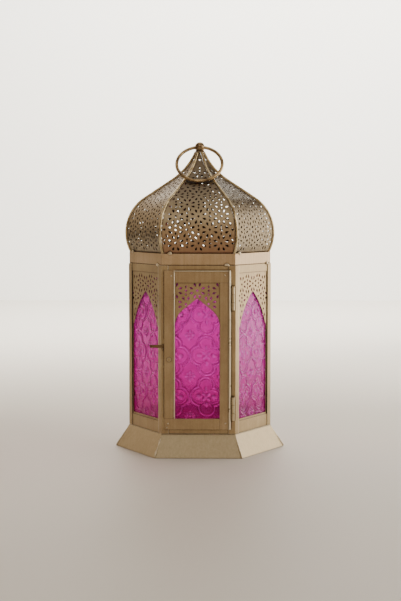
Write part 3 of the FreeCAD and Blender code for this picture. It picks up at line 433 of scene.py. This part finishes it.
def pressed_pane(name, low, high, pattern_at, material):
    """Closed pane from low to high, its outside, towards -y, pressed with the pattern. One quatrefoil has
    its middle at pattern_at, across and up in millimetres."""
    width, thick, tall = (high[i] - low[i] for i in range(3))
    columns, rows = round(width / PANE_STEP), round(tall / PANE_STEP)
    bpy.ops.object.select_all(action="DESELECT")
    bpy.ops.mesh.primitive_grid_add(x_subdivisions=columns, y_subdivisions=rows, size=1)
    pane = bpy.context.object
    pane.name = name
    flat = np.zeros(len(pane.data.vertices) * 3)
    pane.data.vertices.foreach_get("co", flat)
    flat = flat.reshape(-1, 3)
    x = low[0] + (flat[:, 0] + 0.5) * width
    z = low[2] + (flat[:, 1] + 0.5) * tall
    height, outline = embossing(x * 1000 - pattern_at[0], z * 1000 - pattern_at[1])
    y = low[1] + SUNK - height / 1000
    pane.data.vertices.foreach_set("co", np.column_stack([x, y, z]).ravel())
    # Painted highlight on the ridges and painted shade in the grooves, kept in the relief attribute.
    groove = np.exp(-((np.abs(outline) - GROOVE_AWAY) / GROOVE_WIDTH) ** 2)
    tone = np.clip(FLAT_TONE + RIDGE_TONE * height - GROOVE_TONE * groove, 0, 1)
    relief = pane.data.attributes.new("relief", "FLOAT", "POINT")
    relief.data.foreach_set("value", tone)
    bpy.ops.object.mode_set(mode="EDIT")
    bpy.ops.mesh.select_mode(type="EDGE")
    bpy.ops.mesh.select_all(action="DESELECT")
    bpy.ops.mesh.select_non_manifold()
    bpy.ops.mesh.extrude_edges_move(TRANSFORM_OT_translate={"value": (0, thick - SUNK, 0)})
    bpy.ops.mesh.edge_face_add()
    bpy.ops.mesh.select_all(action="SELECT")
    bpy.ops.mesh.normals_make_consistent(inside=False)
    bpy.ops.object.mode_set(mode="OBJECT")
    bpy.ops.object.shade_smooth_by_angle(angle=math.radians(40))
    pane.data.materials.append(material)
    return pane


# Strong pink that glows against the light: a painted highlight of pale pink on the ridges, painted shade
# of magenta in the grooves, a lilac gloss.
pane_glass = pink_glass("pressed_pink_glass", "#980A70", "#F234C2", "#F884F2", "#FF7EF0", "#DE9CFF")

# The five fixed panes are one pane, taken from the box of the back one, turned to each face.
SIDE_PATTERN_AT = (15.0, 99.0)
back_low, back_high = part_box("glass_3")
pane_low = Vector((-back_high.x, -back_high.y, back_low.z))
pane_high = Vector((-back_low.x, -back_low.y, back_high.z))
side_pane = pressed_pane("side_pane", pane_low, pane_high, SIDE_PATTERN_AT, pane_glass)
for n in range(1, SIDES):
    pane = own_copy(side_pane, f"embossed_pane_{n}")
    pane.data.transform(Matrix.Rotation(math.radians(SIDE_DEGREES * n), 4, "Z"))
    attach(pane, "lantern")
    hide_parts(f"glass_{n}")
bpy.data.objects.remove(side_pane)

# Band and solder: a plain hexagonal band under the dome, held off body and dome by blobs of solder
# that were sprayed over with the rest.

# A shade paler and rosier than the body, edged with dark lines of painted shade.
band_gold = gold_paint("antique_gold_paint_band", "#A88F6E", "#BFA581", "#D1B895", 0.38, DARK_EDGE)
dress("lid_band", band_gold, FOLDED_EDGE)

# On each face one blob over the band, on the left, and one under it, on the right, in metres: place
# across, how far proud of the band's face, how far lifted off what it sits on, and half sizes.
TACK_ACROSS = 0.0277
UPPER_PROUD, LOWER_PROUD = -0.0002, 0.0001
TACK_LIFT = 0.0003
TACK_WIDE, TACK_DEEP, TACK_TALL = 0.0026, 0.0013, 0.0015
band_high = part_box("lid_band")[1]
tack_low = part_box("solder_tacks")[0]
tack_lumps = []
for face in range(SIDES):
    angle = math.radians(SIDE_DEGREES * face)
    for x, z, proud in ((-TACK_ACROSS, band_high.z, UPPER_PROUD), (TACK_ACROSS, tack_low.z, LOWER_PROUD)):
        place = Matrix.Rotation(angle, 3, "Z") @ Vector((x, -(band_high.y + proud), z + TACK_LIFT))
        spread = 1 + 0.25 * math.sin(2.6 * face + 90 * x)
        askew = 0.3 * math.sin(face + x * 50)
        tack_lumps.append((place, (TACK_WIDE * spread, TACK_DEEP, TACK_TALL), angle + askew))
tacks = solder_lumps("solder_blobs", tack_lumps, solder_gold, "lantern")
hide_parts("solder_tacks")

# Dome: six gores of pierced sheet bent to an onion curve and darkened towards the tip. The gore over
# the door is painted paler as painted light, with a painted coppery reflection towards its foot.

# Tints: the heights in metres where a tint starts and where it is whole, and its colour.
TIP_TINT = (0.238, 0.262, "#54473A")
# The coppery tint is a painted warm reflection.
WARM_REFLECTION_TINT = (0.228, 0.198, "#A06C4C")
# Near-black painted shade for the dome's inner sides.
INSIDE_SHADE = "#1E1812"

# Dull dark gold, almost brown at the tip. Near-black painted shade on the inside darkens what shows through
# the holes.
dome_gold = gold_paint("antique_gold_paint_dome", "#6E604A", "#807156", "#968566", 0.4, DARK_EDGE,
                       tints=(TIP_TINT,), inside_shade=INSIDE_SHADE)

# The same paint painted paler as painted light, with a painted coppery reflection low down.
front_gold = gold_paint("gold_paint_dome_front_painted_light", "#908066", "#A69475", "#BCA988", 0.38, DARK_EDGE,
                        tints=(TIP_TINT, WARM_REFLECTION_TINT), inside_shade=INSIDE_SHADE)
front_gore = min(range(1, SIDES + 1), key=lambda n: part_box(f"dome_gore_{n}")[0].y)
for n in range(1, SIDES + 1):
    dress(f"dome_gore_{n}", front_gold if n == front_gore else dome_gold, SHEARED_EDGE)

# Ribs, finial and ring: brass wire soldered over the dome's hips, a collar and ball turned from brass and
# drilled for the ring, and the ring bent from heavier wire. Darkened and rubbed back to a shine.

# Rounding of edges in millimetres. Wire and ball are round already, and the ball's hole keeps its sharp
# edge, where the surface turns by more than the limit in degrees.
TURNED_EDGE = 0.25
ROUND = 0
BALL_TURN_LIMIT = 50

# Patterns of the brass in millimetres. Its scratches are finer and are drawn as coarse as they need to
# show.
PATINA_MM = 9
SCRATCH_MM = 0.8


def rubbed_brass(name, dark, light, rough, bright_rough):
    """Antiqued brass: dark patches left between bright rubbed ones, with fine scratches."""
    material = new_material(name)
    place = add(material, "ShaderNodeTexCoord").outputs["Object"]
    patina = add(material, "ShaderNodeTexNoise", {"Vector": place, "Scale": per_mm(PATINA_MM), "Detail": 6.0,
                                                  "Roughness": 0.65})
    colour = add(material, "ShaderNodeValToRGB", {"Fac": patina.outputs["Fac"]},
                 stops=((0.34, dark), (0.62, light)))
    sheen = add(material, "ShaderNodeMapRange", {"Value": patina.outputs["Fac"], "From Min": 0.3,
                                                 "From Max": 0.7, "To Min": rough, "To Max": bright_rough})
    scratch = add(material, "ShaderNodeTexNoise", {"Vector": place, "Scale": per_mm(SCRATCH_MM),
                                                   "Detail": 2.0})
    drawn = add(material, "ShaderNodeBump", {"Height": scratch.outputs["Fac"], "Strength": 0.12,
                                             "Distance": 0.0002})
    shader = add(material, "ShaderNodeBsdfPrincipled", {
        "Base Color": colour.outputs["Color"], "Metallic": 0.8, "Roughness": sheen.outputs["Result"],
        "Normal": drawn.outputs["Normal"]})
    add(material, "ShaderNodeOutputMaterial", {"Surface": shader.outputs["BSDF"]})
    return material


# Wire rubbed bright along its whole length: a thin pale line of light over each hip.
rib_brass = rubbed_brass("rubbed_brass_wire", "#9C875F", "#E6D4AC", 0.24, 0.13)
for n in range(1, SIDES + 1):
    dress(f"dome_rib_{n}", rib_brass, ROUND)

# Brass with an antique bronze finish: dark brown with bright patches and sharp glints, most on the ball.
brass = rubbed_brass("antique_bronze", "#5E4B35", "#C6AA7E", 0.28, 0.16)
ball_brass = rubbed_brass("rubbed_bronze_ball", "#6E583E", "#D0B488", 0.2, 0.15)
dress("finial_collar", brass, TURNED_EDGE)
dress("finial_ball", ball_brass, ROUND, BALL_TURN_LIMIT)
dress("ring_handle", brass, ROUND)

# Door: an arched pierced sheet framed by four strips with turned-back edges, a pane behind it, two
# butt hinges on the right and a thumb latch on the left.

# Rounding in millimetres of the hinge pins and of the latch's rivet.
PIN_EDGE = 0.15
RIVET_EDGE = 0.2

# The body's warm brownish gold, a trace redder, edged with dark lines of painted shade.
door_gold = gold_paint("antique_gold_paint_door", "#967F60", "#AC9470", "#C0AA85", 0.38, DARK_EDGE)
for node_name in ("door_stile_left", "door_stile_right", "door_top_rail", "door_bottom_rail"):
    dress(node_name, door_gold, FOLDED_EDGE)
dress("door_panel", body_gold, SHEARED_EDGE)
dress("door_glass_clips", body_gold, TAB_EDGE)

# The door's pane is narrower and is cut from another part of the pattern.
DOOR_PATTERN_AT = (7.7, 99.0)
door_low, door_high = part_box("door_glass")
door_pane = pressed_pane("embossed_pane_door", door_low, door_high, DOOR_PATTERN_AT, pane_glass)
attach(door_pane, "door")
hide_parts("door_glass")

# Stamped steel under the spray: smoother and paler than the tinplate, with painted shade round the knuckles.
hinge_gold = gold_paint("painted_steel_hinge", "#B4A07A", "#CBB893", "#DDCDAC", 0.32, DARK_EDGE)
for level in ("upper", "lower"):
    dress(f"hinge_{level}_frame_leaf", hinge_gold, SHEARED_EDGE)
    dress(f"hinge_{level}_door_leaf", hinge_gold, SHEARED_EDGE)
    dress(f"hinge_{level}_pin", brass, PIN_EDGE)

# Bronze painted dark as painted shade: a dull brown strip against the gold.
latch_bronze = rubbed_brass("bronze_latch_painted_shade", "#483A29", "#80694A", 0.34, 0.24)
dress("latch_rivet", post_gold, RIVET_EDGE)
dress("latch_lever", latch_bronze, TAB_EDGE)
dress("latch_keeper", body_gold, TAB_EDGE)


def rolled_edge(name, start, end, wide, thick, facing, material):
    """Flattened roll where a strip of the door frame is folded over, from start to end: its half width,
    its half thickness and the way that its flat side faces."""
    along = (end - start).normalized()
    across = facing.cross(along)
    bpy.ops.object.select_all(action="DESELECT")
    bpy.ops.mesh.primitive_cylinder_add(vertices=24, radius=1, depth=2)
    roll = bpy.context.object
    roll.name = name
    turned = Matrix((across, facing, along)).transposed().to_4x4()
    sized = Matrix.Diagonal((wide, thick, (end - start).length / 2, 1))
    roll.data.transform(Matrix.Translation((start + end) / 2) @ turned @ sized)
    bpy.ops.object.mode_set(mode="EDIT")
    bpy.ops.mesh.select_mode(type="EDGE")
    bpy.ops.mesh.select_all(action="DESELECT")
    bpy.ops.mesh.edges_select_sharp(sharpness=math.radians(60))
    bpy.ops.mesh.bevel(offset=thick / 2, segments=3)
    bpy.ops.object.mode_set(mode="OBJECT")
    bpy.ops.object.shade_smooth_by_angle(angle=math.radians(50))
    roll.data.materials.append(material)
    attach(roll, "door")


# Folds painted almost cream as a painted highlight: smooth lines of light.
roll_gold = gold_paint("gold_paint_rolled_edge_painted_highlight", "#D6C6A4", "#E6D8BA", "#F2E8D0", 0.3, PALE_EDGE)

# The rolls in metres: half width and half thickness, how far they lie inside the strip's edge, how far
# the right one stands proud of the frame and the top one is sunk, and the two ways that they face.
RIGHT_ROLL = (0.0012, 0.0005)
TOP_ROLL = (0.0006, 0.0004)
INNER_ROLL = (0.0007, 0.0004)
RIGHT_ROLL_IN = 0.0011
THIN_ROLL_IN = 0.0006
RIGHT_ROLL_PROUD = 0.0002
TOP_ROLL_SUNK = 0.0001
FACING_RIGHT = Vector((0.5, -0.866, 0))
FACING_UP = Vector((0, -0.5, 0.866))
stile_low, stile_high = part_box("door_stile_right")
left_low, left_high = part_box("door_stile_left")
top_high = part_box("door_top_rail")[1]
front_y = left_low.y
right_x = stile_high.x - RIGHT_ROLL_IN
right_y = front_y - RIGHT_ROLL_PROUD
inner_x = left_high.x - THIN_ROLL_IN
top_y = front_y + TOP_ROLL_SUNK
top_z = top_high.z - THIN_ROLL_IN
rolled_edge("door_edge_right", Vector((right_x, right_y, stile_low.z)),
            Vector((right_x, right_y, top_high.z)), *RIGHT_ROLL, FACING_RIGHT, roll_gold)
rolled_edge("door_edge_top", Vector((inner_x, top_y, top_z)),
            Vector((top_high.x, top_y, top_z)), *TOP_ROLL, FACING_UP, roll_gold)
rolled_edge("door_edge_inner", Vector((inner_x, front_y, left_low.z)),
            Vector((inner_x, front_y, left_high.z)), *INNER_ROLL, FACING_RIGHT, roll_gold)

# Dots of solder where the strips of the frame meet, in metres: across and up, and half sizes.
CORNER_DOTS = ((-0.0296, 0.0327), (-0.0308, 0.0287), (0.0262, 0.0330), (-0.0262, 0.1765), (0.0258, 0.1772))
DOT_HALF = (0.0009, 0.0004, 0.0008)
dot_lumps = [(Vector((x, front_y, z)), DOT_HALF, 0) for x, z in CORNER_DOTS]
solder_lumps("door_solder_dots", dot_lumps, solder_gold, "door")

# Stage: a pale floor and a pale backdrop of matt board, a large soft light to the right, a weaker one to
# the left, and soft ones in front, above and behind. None of it belongs to the lantern.


def matt_board(name, colour, rough):
    """Painted board: one even pale colour with hardly any shine."""
    material = new_material(name)
    shader = add(material, "ShaderNodeBsdfPrincipled", {"Base Color": linear(colour), "Roughness": rough})
    add(material, "ShaderNodeOutputMaterial", {"Surface": shader.outputs["BSDF"]})
    return material


bpy.ops.object.select_all(action="DESELECT")
bpy.ops.mesh.primitive_plane_add(size=8, location=(0, 1.5, 0))
floor = bpy.context.object
floor.name = "floor"
floor.data.materials.append(matt_board("pale_floor", "#D9D4CB", 0.6))
bpy.ops.mesh.primitive_plane_add(size=1.8, location=(-0.1, 2.2, 0.8), rotation=(math.radians(90), 0, 0))
backdrop = bpy.context.object
backdrop.name = "backdrop"
backdrop.data.materials.append(matt_board("pale_backdrop", "#F2F1EE", 0.9))


def area_light(name, place, aim, size, power, colour):
    """Soft light of a width and height in metres and a power in watts, turned towards its aim."""
    data = bpy.data.lights.new(name, "AREA")
    data.shape = "RECTANGLE"
    data.size, data.size_y = size
    data.energy = power
    data.color = linear(colour)[:3]
    light = bpy.data.objects.new(name, data)
    bpy.context.scene.collection.objects.link(light)
    light.location = place
    light.rotation_euler = (Vector(aim) - Vector(place)).to_track_quat("-Z", "Y").to_euler()


area_light("side_right", (0.66, 0.40, 0.28), (0, 0, 0.16), (0.8, 0.56), 5.4, "#F8F0E4")
area_light("key_right", (1.25, -0.55, 0.75), (0, 0, 0.15), (0.9, 1.3), 9, "#FFF8EE")
area_light("side_left", (-0.95, 0.62, 0.52), (0, 0, 0.12), (0.8, 0.5), 1.5, "#FFE8CC")
area_light("fill_front", (-0.3, -2.0, 0.5), (0, 0, 0.12), (1.6, 0.9), 3.0, "#FFE6CC")
area_light("fill_above", (0, -1.2, 1.25), (0, 0, 0.12), (1.2, 0.5), 2.8, "#FFF8F0")
area_light("top", (0, 0.1, 1.6), (0, 0, 0.2), (1.4, 1.4), 4, "#FFFFFF")
area_light("backdrop_light", (0.2, 1.3, 1.2), (0, 2.2, 0.4), (2.4, 1.0), 105, "#FFFCF4")
area_light("back_light", (-0.42, 0.9, 0.8), (0, 0, 0.15), (0.9, 0.5), 3.2, "#FFEBD2")

# Warm, dim light from all round.
world = bpy.data.worlds.new("room")
world.use_nodes = True
world.node_tree.nodes["Background"].inputs["Color"].default_value = linear("#C9B093")
world.node_tree.nodes["Background"].inputs["Strength"].default_value = 0.34
bpy.context.scene.world = world

# Camera: level with the dome, a little to the right of square on and tilted slightly down. A long lens
# keeps the upright edges almost parallel.
CAMERA_DISTANCE, CAMERA_HEIGHT = 1.403, 0.243
CAMERA_TURN, CAMERA_TILT = math.radians(1.2), math.radians(3.9)
LENS_MM, SENSOR_MM = 83.1, 36
FRAME_SHIFT = (0.0012, 0.0017)
camera_data = bpy.data.cameras.new("camera")
camera_data.lens = LENS_MM
camera_data.sensor_width = SENSOR_MM
camera_data.shift_x, camera_data.shift_y = FRAME_SHIFT
camera = bpy.data.objects.new("camera", camera_data)
bpy.context.scene.collection.objects.link(camera)
camera.location = (CAMERA_DISTANCE * math.sin(CAMERA_TURN), -CAMERA_DISTANCE * math.cos(CAMERA_TURN),
                   CAMERA_HEIGHT)
camera.rotation_euler = Euler((math.pi / 2 - CAMERA_TILT, 0, CAMERA_TURN))
bpy.context.scene.camera = camera
